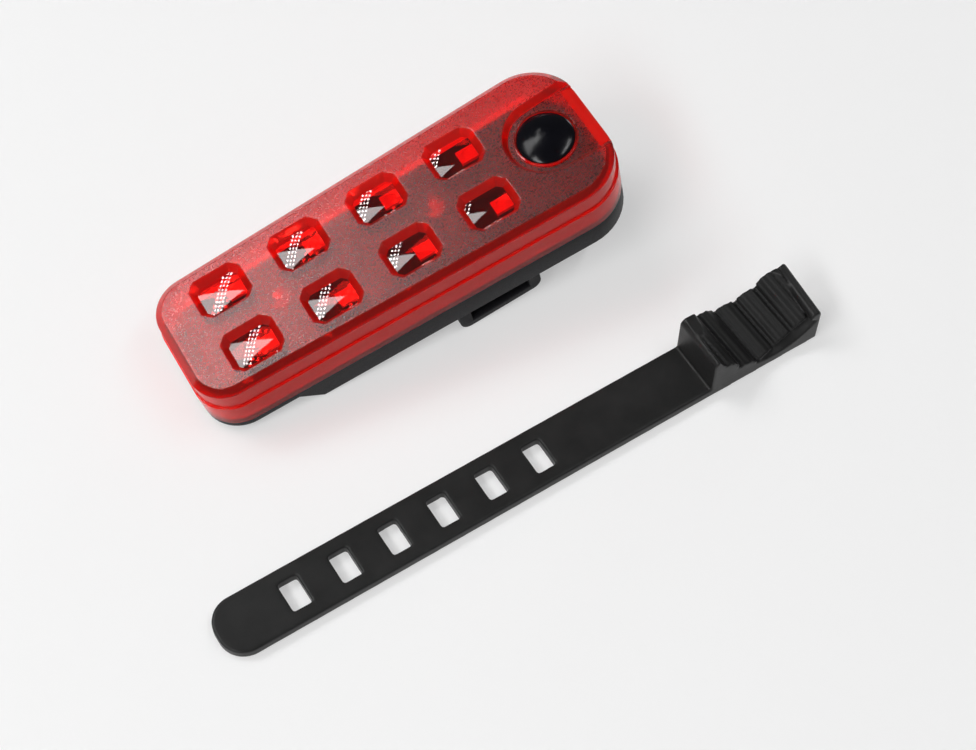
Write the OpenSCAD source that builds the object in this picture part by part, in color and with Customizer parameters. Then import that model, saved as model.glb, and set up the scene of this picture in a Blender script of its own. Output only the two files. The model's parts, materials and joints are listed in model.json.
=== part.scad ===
// Strap-on bicycle rear light, lying on a table with its loose rubber strap beside it.
//
// The light has its own frame: x runs from the narrow end to the button end, y runs across, z points out of
// the lens, and z = 0 is the belly of the back. The light rests on the front edge of its belly and on the
// strap loop, so it is tilted about y. The origin of the whole part is the middle of the strap seat.

/* [Light outline] */
// Corner radius at the narrow end
narrow_radius = 7.5; // [5:0.5:9]
// Corner radius at the button end
wide_radius = 10.5; // [7:0.5:11]
// How much wider each side is at the button end than at the narrow end
side_flare = 1.95; // [0.5:0.05:4]
// From the centre of the button to the button end
button_end = 10.2; // [9.4:0.2:14]

/* [Back shell] */
// Height of the parting line above the belly
back_depth = 7.3; // [6.8:0.1:8.5]
// Thickness of the floor
floor_t = 1.5; // [1:0.1:2]
// Length of the shallow nose at the narrow end
nose_length = 15.7; // [10:0.1:18]
// How much higher the nose lies than the belly
nose_lift = 4; // [2:0.1:4.5]
// Length of the slope from the nose down to the belly
nose_slope = 4.3; // [2:0.1:6]
// Gap between the rim of the back and the outline of the lens
back_inset = 0.1; // [0:0.05:0.3]
// Thickness of the tongue that stands inside the lens
tongue_t = 0.6; // [0.5:0.1:1]
// Height of the tongue above the parting line
tongue_h = 1.2; // [0.8:0.1:2]
// Gap between the tongue and the lens
tongue_gap = 0.3; // [0.2:0.05:0.5]
// Thickness of the ribs that carry the contact plates
rib_t = 1.1; // [0.8:0.1:2]
// Width of the seal
seal_w = 0.6; // [0.4:0.1:0.8]
// Height of the seal
seal_h = 0.6; // [0.4:0.1:1]
// Distance of the seal groove from the outer face of the rim
seal_edge = 0.6; // [0.4:0.1:0.8]
// Gap on each side of the seal in its groove
seal_gap = 0.05; // [0.02:0.01:0.1]

/* [Lens] */
// Wall of the lens
lens_wall = 1.5; // [1.2:0.1:2]
// Thickness of the front face
lens_top_t = 2.4; // [2.2:0.1:3]
// Step from the skirt in to the upper wall
lens_step = 0.4; // [0.2:0.05:0.6]
// Height of the skirt below that step
skirt_h = 2.4; // [1.5:0.1:4]
// Height of the bevel round the front face
bevel_h = 1.2; // [0.6:0.1:1.6]
// Width of the bevel round the front face
bevel_w = 0.9; // [0.4:0.1:1.4]

/* [Windows] */
// From the narrow end to the middle of the first column
window_start = 13.4; // [11.5:0.1:16]
// Pitch of the columns
window_pitch = 16.35; // [14.5:0.05:18]
// Length of a window along the light
window_length = 10.6; // [8:0.2:12]
// Width of a window across the light
window_width = 8.6; // [6:0.2:8.8]
// Clear strip between the two rows
window_strip = 4.2; // [4:0.1:5]
// Cut corner of a window
window_corner = 1.6; // [0.6:0.1:2.5]
// Width of the sloping wall round a window
window_slope = 1.2; // [0.4:0.1:1.6]
// Depth of a window at the crown of its lens
window_depth = 1.3; // [0.8:0.05:1.4]
// Radius of the curved window floor
window_radius = 33; // [28:1:80]

/* [Button] */
// Diameter of the button
button_d = 10.9; // [10:0.1:12]
// Height of the dome above the button's side
dome_h = 1.5; // [0.8:0.1:2]
// Running gap round the button
button_gap = 0.08; // [0.05:0.01:0.1]
// How far the button goes in
button_travel = 0.5; // [0.3:0.05:0.5]
// Width of the flange that holds the button under the lens
flange_w = 1; // [0.6:0.1:1.4]
// Thickness of that flange
flange_t = 0.5; // [0.4:0.05:0.6]
// Wall of the hollow button
button_wall = 1.05; // [0.8:0.05:1.3]
// Depth of the recess round the button
recess_depth = 1.5; // [1:0.1:1.6]
// Width of the recess round the button at its rim
recess_margin = 2.5; // [2:0.1:3]
// Width of the sloping wall of the recess
recess_slope = 0.9; // [0.3:0.1:1.2]
// How much each side of the recess opens towards the end
recess_flare = 0.8; // [0:0.1:1.5]
// Strip of front face between the last windows and the recess
recess_strip = 2.5; // [1:0.1:5]
// Width of the raised collar round the button
collar_w = 0.45; // [0.3:0.05:0.8]
// Height of the raised collar round the button
collar_h = 0.4; // [0.2:0.05:0.6]
// Length of the slope where the recess runs out at the end
runout_length = 2.4; // [1.5:0.1:3]
// Drop of that slope
runout_drop = 0.7; // [0.3:0.1:0.8]

/* [Cells and contacts] */
// Diameter of a cell
cell_d = 10.5; // [10:0.1:11]
// Length of a cell with its nub
cell_length = 44.5; // [43:0.1:46]
// Diameter of the nub
nub_d = 3.8; // [3:0.1:4.5]
// Height of the nub
nub_h = 0.8; // [0.6:0.1:1.2]
// Gap between the two cells
cell_gap = 0.4; // [0.2:0.1:1]
// Gap between a cell and the floor
cell_lift = 0.1; // [0.05:0.05:0.3]
// Least gap between a cell and the side wall
side_room = 0.3; // [0.2:0.1:1]
// Thickness of the contact plates
plate_t = 0.4; // [0.3:0.05:0.6]
// Width of an end plate
plate_w = 9; // [8:0.2:9.6]
// Gap where a cell or spring meets a plate
contact_gap = 0.1; // [0.05:0.05:0.2]
// Length of a spring between a cell and its plate
spring_length = 3.4; // [3:0.1:4]
// Radius of a spring at the middle of its wire
spring_radius = 2.6; // [2:0.1:3.5]
// Thickness of the spring wire
spring_wire = 0.45; // [0.3:0.05:0.5]
// Turns of a spring
spring_turns = 3; // [2:0.5:3]

/* [Electronics] */
// Gap between the cells and the board
board_lift = 0.2; // [0.1:0.1:0.6]
// Thickness of the board
board_t = 0.8; // [0.6:0.1:1]
// Gap between the board's edge and the lens
board_gap = 2.6; // [0.5:0.1:4]
// Room between the board and the front face
board_room = 1.3; // [1.2:0.1:2]
// How far a lamp sits from the middle of its window towards the button
led_shift = 2.4; // [0:0.1:3]
// Length of a lamp
led_length = 3.5; // [2.8:0.1:5]
// Width of a lamp
led_width = 2.8; // [2.4:0.1:5]
// Height of a lamp
led_h = 0.7; // [0.5:0.1:0.9]
// Diameter of the round cup in a lamp
led_cup_d = 2.2; // [1.6:0.1:2.3]
// Depth of that cup
led_cup_depth = 0.25; // [0.1:0.05:0.4]
// Side of the square switch
switch_side = 4.5; // [4:0.1:5]
// Height of the switch
switch_h = 1.6; // [1.4:0.1:1.6]
// Diameter of the switch stem
stem_d = 2.2; // [1.8:0.1:2.6]
// Running gap round the switch stem
stem_gap = 0.05; // [0.02:0.01:0.1]
// How far the stem stands out of the switch
stem_out = 0.55; // [0.52:0.01:0.6]
// Length of the chip
chip_length = 4.9; // [4:0.1:5.5]
// Width of the chip
chip_width = 3.9; // [3:0.1:4]
// Height of the chip
chip_h = 0.9; // [0.6:0.05:1]
// Length of a resistor
resistor_length = 1.6; // [1:0.1:2]
// Width of a resistor
resistor_width = 0.8; // [0.5:0.1:1.2]
// Height of a resistor
resistor_h = 0.45; // [0.3:0.05:0.6]
// Side of a contact pad under the board
pad_side = 3; // [2:0.1:4]
// Diameter of a screw
screw_d = 1.7; // [1.4:0.1:2]
// Running gap round a screw
screw_gap = 0.05; // [0.02:0.01:0.1]
// Diameter of a screw head
screw_head_d = 3.2; // [2.6:0.1:3.4]
// Height of a screw head
screw_head_h = 0.9; // [0.6:0.1:1]
// How far a screw reaches into the lens above the board
screw_reach = 2.2; // [1.8:0.1:2.3]
// Diameter of a screw boss
boss_d = 3.8; // [3.4:0.1:4]

/* [Strap] */
// Length of the strap
strap_length = 123.4; // [118:0.2:140]
// Width of the strap
strap_width = 11.2; // [10:0.1:13]
// Thickness of the strap
strap_t = 2.3; // [1.8:0.1:3]
// Corner radius of the strap's tip
tip_radius = 4; // [2:0.5:5]
// Number of holes
hole_count = 6; // [4:1:6]
// From the tip to the middle of the first hole
hole_start = 15.3; // [10:0.1:18]
// Pitch of the holes
hole_pitch = 10; // [8:0.5:11]
// Length of a hole along the strap
hole_length = 3.8; // [3.4:0.1:5]
// Width of a hole across the strap
hole_width = 6; // [5:0.1:7]

/* [Saddle of the strap] */
// Length of the saddle
saddle_length = 24; // [22:0.2:26]
// Height of the saddle's ends above the table
saddle_h = 11.2; // [8:0.2:12]
// Radius of the post that the saddle sits on
saddle_radius = 13; // [12.7:0.1:17]
// Thickness left at the lowest point of the saddle
saddle_floor = 2.2; // [1.5:0.1:4]
// Slope of the saddle across the strap, for a leaning post
saddle_slope = 24; // [8:1:28]
// Number of round bars across the saddle
saddle_bars = 5; // [3:1:6]
// Radius of a bar
bar_radius = 1.4; // [1.2:0.1:1.6]
// How far a bar stands out of the hollow
bar_height = 1; // [0.4:0.1:1.1]
// Angle from one bar to the next
bar_angle = 20; // [16:1:22]
// From the near edge of the strap to the ends of the bars
bar_margin = 1; // [0.5:0.1:2]
// Turn of the hollow across the strap
saddle_turn = 14; // [0:1:16]
// How far the hollow is shifted towards the free end
saddle_shift = 0.8; // [-1:0.1:1.5]
// Radius of the rounded top of the wall beside the flat part
wall_radius = 1.3; // [0.8:0.1:1.8]
// Radius of the roll along the free end
roll_radius = 1.1; // [0.8:0.1:1.6]
// Turn of the free end across the strap
roll_turn = 2; // [0:1:12]
// Slope of the roll across the strap
roll_slope = 12; // [0:1:16]
// Height of the middle of the roll at the near edge
roll_z = 7.8; // [6:0.1:8.4]

/* [Strap fixing on the back] */
// From the narrow end to the middle of the strap seat
seat_x = 57.1; // [52:0.1:60]
// Length of the strap seat across the strap
seat_length = 11; // [8:0.2:12]
// Width of the strap seat along the strap
seat_width = 19; // [12:0.5:20]
// Height of the strap seat
seat_t = 0.6; // [0.4:0.1:1]
// Side gap of the strap in its loop
slot_gap = 0.6; // [0.4:0.1:1]
// Free height above the strap in its loop
slot_lift = 0.6; // [0.4:0.1:1]
// Width of the posts of the loop
loop_post = 2.5; // [2:0.1:4]
// Height of the bar of the loop
loop_bar = 1.7; // [1.4:0.1:2.5]
// Thickness of the loop
loop_t = 2; // [1.5:0.1:2.6]
// Corner radius of the loop
loop_radius = 2; // [1:0.1:2.4]
// Distance of the loop from the side of the back
loop_edge = 0.25; // [0.15:0.05:1]
// Gap round the hook in a strap hole
hook_gap = 0.7; // [0.4:0.1:1]
// How far the lip of the hook reaches out
hook_lip = 1.8; // [1.2:0.1:2.4]
// Play of the saddle between the loop and the hook
saddle_gap = 0.3; // [0.2:0.1:0.8]

/* [Place of the strap on the table] */
// Tip of the strap along the light, from the strap seat
strap_x = -75.2; // [-90:0.1:-60]
// Tip of the strap across the light, from the strap seat
strap_y = -47.9; // [-80:0.1:-38]
// Turn of the strap
strap_turn = 2.2; // [-10:0.1:10]

/* [Hidden] */
$fn = 64;
corner_steps = 12;
cut = 1;
thin = 0.01;

// Across the light: two cells, the tongue and the lens wall give the width
tongue_inset = lens_step + lens_wall + tongue_gap;
bay_inset = tongue_inset + tongue_t;
cell_y = (cell_gap + cell_d) / 2;
narrow_half = cell_gap / 2 + cell_d + side_room + bay_inset;
wide_half = narrow_half + side_flare;

// Along the light: windows, recess and button give the length. Each column has two of the eight lamps
window_columns = 4;
window_y = (window_strip + window_width) / 2;
window_end = window_start + (window_columns - 1) * window_pitch + window_length / 2;
recess_radius = button_d / 2 + recess_margin;
button_x = window_end + recess_strip + recess_radius;
body_length = button_x + button_end;

// Along the light: the battery bay
belly_x = nose_length + nose_slope;
bay_start = belly_x + floor_t + rib_t;
bay_end = bay_start + 2 * plate_t + 2 * contact_gap + cell_length + spring_length;

// Up through the light: floor, cells, board, lamps and front face
cell_z = floor_t + cell_lift + cell_d / 2;
cell_top = cell_z + cell_d / 2;
board_z = cell_top + board_lift;
board_top = board_z + board_t;
lens_under = board_top + board_room;
lens_top = lens_under + lens_top_t;
recess_z = lens_top - recess_depth;
window_z = lens_top - window_depth;
rib_top = cell_top - rib_t;
step_z = back_depth + skirt_h;
plate_z = floor_t + cell_lift;
pad_h = board_lift / 2;
plate_top = board_z - pad_h - contact_gap;

// Button and switch
flange_top = lens_under - contact_gap;
flange_z = flange_top - flange_t;
button_rim = recess_z + collar_h;
button_r = button_d / 2;
button_bore = button_r - button_wall;
dome_radius = (button_r * button_r + dome_h * dome_h) / (2 * dome_h);
stem_top = board_top + switch_h + stem_out;
stem_bottom = board_top + button_travel + stem_gap + contact_gap;
post_z = stem_top + contact_gap / 2;
post_top = button_rim + thin;

// Strap and its fixing
saddle_x = strap_length - saddle_length;
slot_length = strap_width + 2 * slot_gap;
slot_h = strap_t + slot_lift;
loop_length = slot_length + 2 * loop_post;
loop_drop = seat_t + slot_h + loop_bar;
hook_length = hole_width - 2 * hook_gap;
hook_neck = hole_length - 2 * hook_gap;

// Outline of the light: four corner arcs joined by straight sides
narrow_centre = [narrow_radius, narrow_half - narrow_radius];
wide_centre = [body_length - wide_radius, wide_half - wide_radius];
centre_step = wide_centre - narrow_centre;
side_angle = atan2(centre_step.y, centre_step.x) + acos((narrow_radius - wide_radius) / norm(centre_step));

function flipped(p) = [p.x, -p.y];
function arc(centre, radius, from, to) = [
    for (i = [0 : corner_steps])
        let (a = from + (to - from) * i / corner_steps)
        centre + radius * [cos(a), sin(a)]
];
function outline(inset) = concat(
    arc(flipped(wide_centre), wide_radius - inset, -side_angle, 0),
    arc(wide_centre, wide_radius - inset, 0, side_angle),
    arc(narrow_centre, narrow_radius - inset, side_angle, 180),
    arc(flipped(narrow_centre), narrow_radius - inset, 180, 360 - side_angle)
);
function half_width(x) = narrow_centre.y
    + (narrow_radius - (x - narrow_centre.x) * cos(side_angle)) / sin(side_angle);

// Rest on the table: the table touches the belly's front edge and the loop's front corner
loop_x = seat_x - loop_length / 2;
loop_y = half_width(loop_x) - back_inset - loop_edge;
rest_run = loop_x + loop_radius - belly_x;
rest_drop = loop_drop - loop_radius;
tilt = atan2(rest_drop, rest_run) + asin(loop_radius / norm([rest_run, rest_drop]));
table_z = (belly_x - seat_x) * sin(tilt) + seat_t * cos(tilt);

// Puts a piece that is drawn in the light's frame in its place on the table
module in_light() {
    rotate([0, -tilt, 0])
        translate([-seat_x, 0, seat_t])
            children();
}

// Upright prism on the light's outline, drawn in by an inset
module prism(inset, from, to) {
    translate([0, 0, from])
        linear_extrude(to - from)
            polygon(outline(inset));
}

// Upright band between two insets
module band(outer, inner, from, to) {
    difference() {
        prism(outer, from, to);
        prism(inner, from - cut, to + cut);
    }
}

// Bar across the light whose side view is given by points [x, z]
module across(points, width) {
    rotate([90, 0, 0])
        linear_extrude(width, center = true)
            polygon(points);
}

// Box given by its middle in x and y and by its underside
module block(x, y, z, size) {
    translate([x - size.x / 2, y - size.y / 2, z])
        cube(size);
}

function column_x(column) = window_start + column * window_pitch;
function row_y(row) = row == 0 ? -window_y : window_y;
function strip_x(column) = column_x(column) + window_pitch / 2;
screw_columns = [0, window_columns - 2];

module bay() {
    inner_nose = nose_length + floor_t;
    inner_belly = belly_x + floor_t;
    roof = lens_top;
    intersection() {
        prism(bay_inset, 0, roof);
        across([[0, nose_lift + floor_t], [inner_nose, nose_lift + floor_t], [inner_belly, floor_t],
            [body_length, floor_t], [body_length, roof], [0, roof]], 2 * wide_half);
    }
}

module contact_rib(x) {
    rib_w = 2 * (cell_gap / 2 + cell_d);
    translate([x, -rib_w / 2, floor_t / 2])
        cube([rib_t, rib_w, rib_top - floor_t / 2]);
}

module back_shell() {
    color("#17181b")
        in_light() {
            difference() {
                union() {
                    prism(back_inset, 0, back_depth);
                    prism(tongue_inset, floor_t, back_depth + tongue_h);
                }
                across([[-cut, -cut], [belly_x + cut * nose_slope / nose_lift, -cut], [belly_x, 0],
                    [nose_length, nose_lift], [-cut, nose_lift]], 3 * wide_half);
                bay();
                band(back_inset + seal_edge, back_inset + seal_edge + seal_w + 2 * seal_gap,
                    back_depth - seal_h, back_depth + cut);
            }
            contact_rib(bay_start - rib_t);
            contact_rib(bay_end);
            block(seat_x, 0, -seat_t, [seat_length, seat_width, seat_t + floor_t / 2]);
        }
}

module seal_ring() {
    seal_inset = back_inset + seal_edge + seal_gap;
    color("#2b2b2b")
        in_light()
            band(seal_inset, seal_inset + seal_w, back_depth - seal_h, back_depth);
}

// Plate with two round lower corners, drawn upright and hanging below z = 0
module hanging_plate(from, to, radius) {
    corner_z = radius - loop_drop;
    polygon(concat(
        [[to, 0], [from, 0]],
        [for (a = [180 : 90 / corner_steps : 270]) [from + radius + radius * cos(a), corner_z + radius * sin(a)]],
        [for (a = [270 : 90 / corner_steps : 360]) [to - radius + radius * cos(a), corner_z + radius * sin(a)]]
    ));
}

module upright(y) {
    translate([0, y + loop_t / 2, 0])
        rotate([90, 0, 0])
            linear_extrude(loop_t)
                children();
}

module strap_loop() {
    color("#17181b")
        in_light()
            upright(loop_t / 2 - loop_y)
                difference() {
                    hanging_plate(loop_x, loop_x + loop_length, loop_radius);
                    translate([loop_x + loop_post, -seat_t - slot_h])
                        square([slot_length, slot_h]);
                }
}

module strap_guides() {
    color("#17181b")
        in_light()
            upright(loop_y - loop_t / 2)
                difference() {
                    hanging_plate(loop_x, loop_x + loop_length, loop_radius);
                    translate([loop_x + loop_post, -loop_drop - cut])
                        square([slot_length, loop_drop + 2 * cut]);
                }
}

module strap_hook() {
    hook_y = loop_t - loop_y + saddle_gap + saddle_length;
    color("#17181b")
        in_light()
            translate([seat_x - hook_length / 2, hook_y, -loop_drop]) {
                cube([hook_length, hook_neck, loop_drop]);
                cube([hook_length, hook_neck + hook_lip, loop_bar]);
            }
}

// Cell along x with its nub at the low end
module cell() {
    rotate([0, 90, 0]) {
        translate([0, 0, nub_h])
            cylinder(d = cell_d, h = cell_length - nub_h);
        cylinder(d = nub_d, h = nub_h + thin);
    }
}

// Battery 1 has its nub at the narrow end, battery 2 at the button end
module battery(number) {
    color("#3f6f8f")
        in_light()
            if (number == 1) {
                translate([bay_start + plate_t + contact_gap, -cell_y, cell_z])
                    cell();
            } else {
                translate([bay_end - plate_t - contact_gap, cell_y, cell_z])
                    mirror([1, 0, 0])
                        cell();
            }
}

// Wire helix along x as one tube of six-sided rings
module coil_spring(length) {
    sides = 6;
    rings_per_turn = 8;
    steps = spring_turns * rings_per_turn;
    wire_r = spring_wire / 2;
    rings = [
        for (i = [0 : steps])
            for (j = [0 : sides - 1])
                let (turn = 360 * spring_turns * i / steps)
                let (side = 360 * j / sides)
                let (r = spring_radius + wire_r * cos(side))
                [length * i / steps + wire_r * sin(side), r * cos(turn), r * sin(turn)]
    ];
    walls = [
        for (i = [0 : steps - 1])
            for (j = [0 : sides - 1])
                let (a = i * sides + j)
                let (b = i * sides + (j + 1) % sides)
                each [[a, b, b + sides], [a, b + sides, a + sides]]
    ];
    first_cap = [for (j = [1 : sides - 2]) [0, j + 1, j]];
    last = steps * sides;
    last_cap = [for (j = [1 : sides - 2]) [last, last + j, last + j + 1]];
    polyhedron(rings, concat(walls, first_cap, last_cap));
}

module battery_spring(number) {
    room = spring_wire / 2 + contact_gap;
    run = spring_length - 2 * room;
    start = number == 1 ? bay_end - plate_t - contact_gap - spring_length : bay_start + plate_t + contact_gap;
    color("#c9ccd0")
        in_light()
            translate([start + room, number == 1 ? -cell_y : cell_y, cell_z])
                coil_spring(run);
}

module bridge_contact() {
    bridge_w = 2 * cell_y + plate_w;
    color("#c9ccd0")
        in_light()
            translate([bay_start, -bridge_w / 2, plate_z])
                cube([plate_t, bridge_w, rib_top - plate_z]);
}

module terminal(y) {
    color("#c9ccd0")
        in_light()
            translate([bay_end - plate_t, y - plate_w / 2, plate_z])
                cube([plate_t, plate_w, plate_top - plate_z]);
}

module contact_pads() {
    color("#d8b45a")
        in_light()
            for (y = [-cell_y, cell_y])
                block(bay_end - plate_t / 2, y, board_z - pad_h, [pad_side, pad_side, pad_h]);
}

module circuit_board() {
    color("#1f4d33")
        in_light()
            difference() {
                prism(lens_step + lens_wall + board_gap, board_z, board_top);
                for (column = screw_columns)
                    translate([strip_x(column), 0, board_z - cut])
                        cylinder(d = screw_d + 2 * screw_gap, h = board_t + 2 * cut);
            }
}

module led(number) {
    column = floor((number - 1) / 2);
    row = (number - 1) % 2;
    color("#f3e7c8")
        in_light()
            translate([column_x(column) + led_shift, row_y(row), board_top])
                difference() {
                    block(0, 0, 0, [led_length, led_width, led_h]);
                    translate([0, 0, led_h - led_cup_depth])
                        cylinder(d = led_cup_d, h = led_cup_depth + cut);
                }
}

module switch_body() {
    color("#c2c5c9")
        in_light()
            translate([button_x, 0, board_top])
                difference() {
                    block(0, 0, 0, [switch_side, switch_side, switch_h]);
                    translate([0, 0, stem_gap])
                        cylinder(d = stem_d + 2 * stem_gap, h = switch_h);
                }
}

module switch_stem() {
    color("#202124")
        in_light()
            translate([button_x, 0, stem_bottom])
                cylinder(d = stem_d, h = stem_top - stem_bottom);
}

module control_chip() {
    middle_strip = floor((window_columns - 1) / 2);
    color("#222326")
        in_light()
            block(strip_x(middle_strip), 0, board_top, [chip_length, chip_width, chip_h]);
}

module resistors() {
    color("#303236")
        in_light()
            for (column = [0 : window_columns - 1])
                block(column_x(column), 0, board_top, [resistor_length, resistor_width, resistor_h]);
}

module board_screws() {
    color("#b9bcc0")
        in_light()
            for (column = screw_columns)
                translate([strip_x(column), 0, board_z]) {
                    translate([0, 0, -screw_head_h])
                        cylinder(d = screw_head_d, h = screw_head_h);
                    cylinder(d = screw_d, h = board_t + screw_reach);
                }
}

// Side view of a window pocket, whose walls slope in from the front face
function pocket_side(half, low) =
    let (draft = window_slope / window_depth)
    let (foot = half - draft * (lens_top - low))
    let (head = half + draft * cut)
    [[-foot, low], [foot, low], [head, lens_top + cut], [-head, lens_top + cut]];

// Window pocket: an octagon with sloping sides that ends on a gently domed floor
module window_pocket(x, y) {
    half = [window_length / 2, window_width / 2];
    floor_half = half - [window_slope, window_slope];
    corner = half - [window_corner, window_corner];
    low = window_z - floor_half * floor_half / (2 * window_radius);
    translate([x, y, 0])
        difference() {
            intersection() {
                across(pocket_side(half.x, low), 2 * window_width);
                rotate([0, 0, 90])
                    across(pocket_side(half.y, low), 2 * window_length);
                translate([0, 0, low])
                    linear_extrude(lens_top + cut - low)
                        polygon([[half.x, -corner.y], [half.x, corner.y], [corner.x, half.y], [-corner.x, half.y],
                            [-half.x, corner.y], [-half.x, -corner.y], [-corner.x, -half.y], [corner.x, -half.y]]);
            }
            translate([0, 0, window_z - window_radius])
                sphere(window_radius);
        }
}

// Outline of the recess round the button, drawn in by an inset
module recess_outline(inset) {
    over = body_length - button_x + cut;
    radius = recess_radius - inset;
    mouth = radius + recess_flare;
    circle(radius, $fn = 48);
    polygon([[0, -radius], [over, -mouth], [over, mouth], [0, radius]]);
}

// Recess round the button, open at the end, where its floor slopes down
module button_recess() {
    runout_x = body_length - lens_step - runout_length;
    translate([button_x, 0, 0])
        hull() {
            translate([0, 0, recess_z])
                linear_extrude(thin)
                    recess_outline(recess_slope);
            translate([0, 0, lens_top])
                linear_extrude(thin)
                    recess_outline(0);
        }
    across([[runout_x, recess_z], [body_length, recess_z - runout_drop], [body_length + cut, recess_z - runout_drop],
        [body_length + cut, lens_top], [runout_x, lens_top]], 2 * (recess_radius - recess_slope));
}

module lens_cover() {
    hole_r = button_r + button_gap;
    color("#a01218")
        in_light()
            difference() {
                union() {
                    difference() {
                        union() {
                            prism(0, back_depth, step_z);
                            hull() {
                                prism(lens_step, step_z - thin, lens_top - bevel_h);
                                prism(lens_step + bevel_w, lens_top - thin, lens_top);
                            }
                        }
                        prism(lens_step + lens_wall, back_depth - cut, lens_under);
                        for (column = [0 : window_columns - 1])
                            for (row = [0, 1])
                                window_pocket(column_x(column), row_y(row));
                        button_recess();
                    }
                    translate([button_x, 0, recess_z - thin])
                        cylinder(r = hole_r + collar_w, h = collar_h + thin);
                    for (column = screw_columns)
                        translate([strip_x(column), 0, board_top])
                            cylinder(d = boss_d, h = board_room + thin);
                }
                translate([button_x, 0, lens_under - cut])
                    cylinder(r = hole_r, h = lens_top_t + 2 * cut);
                for (column = screw_columns)
                    translate([strip_x(column), 0, board_top - cut])
                        cylinder(d = screw_d + 2 * screw_gap, h = cut + screw_reach + contact_gap);
            }
}

// Hollow button: flange, round side, dome, and a post above the switch stem
module button() {
    color("#1b0d0f")
        in_light()
            translate([button_x, 0, 0]) {
                difference() {
                    union() {
                        translate([0, 0, flange_z])
                            cylinder(r = button_r + flange_w, h = flange_t);
                        translate([0, 0, flange_z])
                            cylinder(r = button_r, h = button_rim - flange_z);
                    }
                    translate([0, 0, flange_z - cut])
                        cylinder(r = button_bore, h = button_rim - flange_z + cut);
                }
                intersection() {
                    translate([0, 0, button_rim + dome_h - dome_radius])
                        sphere(dome_radius);
                    translate([0, 0, button_rim - thin])
                        cylinder(r = button_r, h = dome_h + cut);
                }
                translate([0, 0, post_z])
                    cylinder(d = stem_d, h = post_top - post_z);
            }
}

// Space of the post above the saddle, less the bars that stand out of the hollow, z = 0 at its lowest point
module saddle_hollow() {
    reach = 4 * strap_width;
    bar_ring = saddle_radius + bar_radius - bar_height;
    difference() {
        union() {
            rotate([90, 0, 0])
                translate([0, saddle_radius, 0])
                    cylinder(r = saddle_radius, h = reach, center = true);
            block(0, 0, saddle_radius, [2 * saddle_radius, reach, saddle_radius]);
        }
        for (i = [0 : saddle_bars - 1])
            let (a = bar_angle * (i - (saddle_bars - 1) / 2))
                translate([bar_ring * sin(a), bar_margin, saddle_radius - bar_ring * cos(a)])
                    rotate([-90, 0, 0])
                        cylinder(r = bar_radius, h = reach);
    }
}

// Puts a piece that is drawn along x from the strap's tip in its place on the table
module in_strap() {
    translate([strap_x, strap_y, table_z])
        rotate([0, 0, strap_turn])
            children();
}

// Flat part of the strap, from the round tip to the saddle
module strap_band() {
    half = strap_width / 2;
    tip_y = half - tip_radius;
    color("#1b1b1d")
        in_strap()
            difference() {
                linear_extrude(strap_t)
                    polygon(concat(
                        [[saddle_x, -half], [saddle_x, half]],
                        arc([tip_radius, tip_y], tip_radius, 90, 180),
                        arc([tip_radius, -tip_y], tip_radius, 180, 270)
                    ));
                for (i = [0 : hole_count - 1])
                    block(hole_start + i * hole_pitch, 0, -cut, [hole_length, hole_width, strap_t + 2 * cut]);
            }
}

// Thick end of the strap, with a hollow for a leaning post that slopes and turns across the strap
module strap_saddle() {
    half = strap_width / 2;
    middle = saddle_x + saddle_length / 2 + saddle_shift;
    far_end = strap_length - strap_width * tan(roll_turn);
    color("#1b1b1d")
        in_strap() {
            difference() {
                intersection() {
                    across(concat(
                        [[saddle_x, 0], [strap_length, 0], [strap_length, saddle_h]],
                        arc([saddle_x + wall_radius, saddle_h - wall_radius], wall_radius, 90, 180)
                    ), 2 * strap_width);
                    linear_extrude(saddle_h)
                        polygon([[saddle_x, -half], [strap_length, -half], [far_end, half], [saddle_x, half]]);
                }
                translate([middle, -half, saddle_floor])
                    rotate([0, 0, saddle_turn])
                        rotate([saddle_slope, 0, 0])
                            saddle_hollow();
                along_roll()
                    block(0, 0, 0, [2 * roll_radius, 4 * strap_width, saddle_h]);
            }
            intersection() {
                along_roll()
                    rotate([90, 0, 0])
                        cylinder(r = roll_radius, h = 4 * strap_width, center = true);
                translate([saddle_x, -half, 0])
                    cube([2 * saddle_length, strap_width, 2 * saddle_h]);
            }
        }
}

// Puts a piece that is drawn along y on the line of the roll
module along_roll() {
    translate([strap_length - roll_radius, -strap_width / 2, roll_z])
        rotate([0, 0, roll_turn])
            rotate([roll_slope, 0, 0])
                children();
}

back_shell();
strap_loop();
strap_hook();
strap_guides();
seal_ring();
battery(1);  // battery_1
battery(2);  // battery_2
battery_spring(1);  // battery_spring_1
battery_spring(2);  // battery_spring_2
bridge_contact();
terminal(cell_y);  // terminal_plus
terminal(-cell_y);  // terminal_minus
contact_pads();
circuit_board();
led(1);  // led_1
led(2);  // led_2
led(3);  // led_3
led(4);  // led_4
led(5);  // led_5
led(6);  // led_6
led(7);  // led_7
led(8);  // led_8
switch_body();
switch_stem();
control_chip();
resistors();
board_screws();
lens_cover();
button();
strap_band();
strap_saddle();
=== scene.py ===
"""Looks of a strap-on bicycle rear light that lies on a white table beside its rubber strap."""

import json
import math

import bmesh
import bpy
from mathutils import Matrix, Vector


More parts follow.
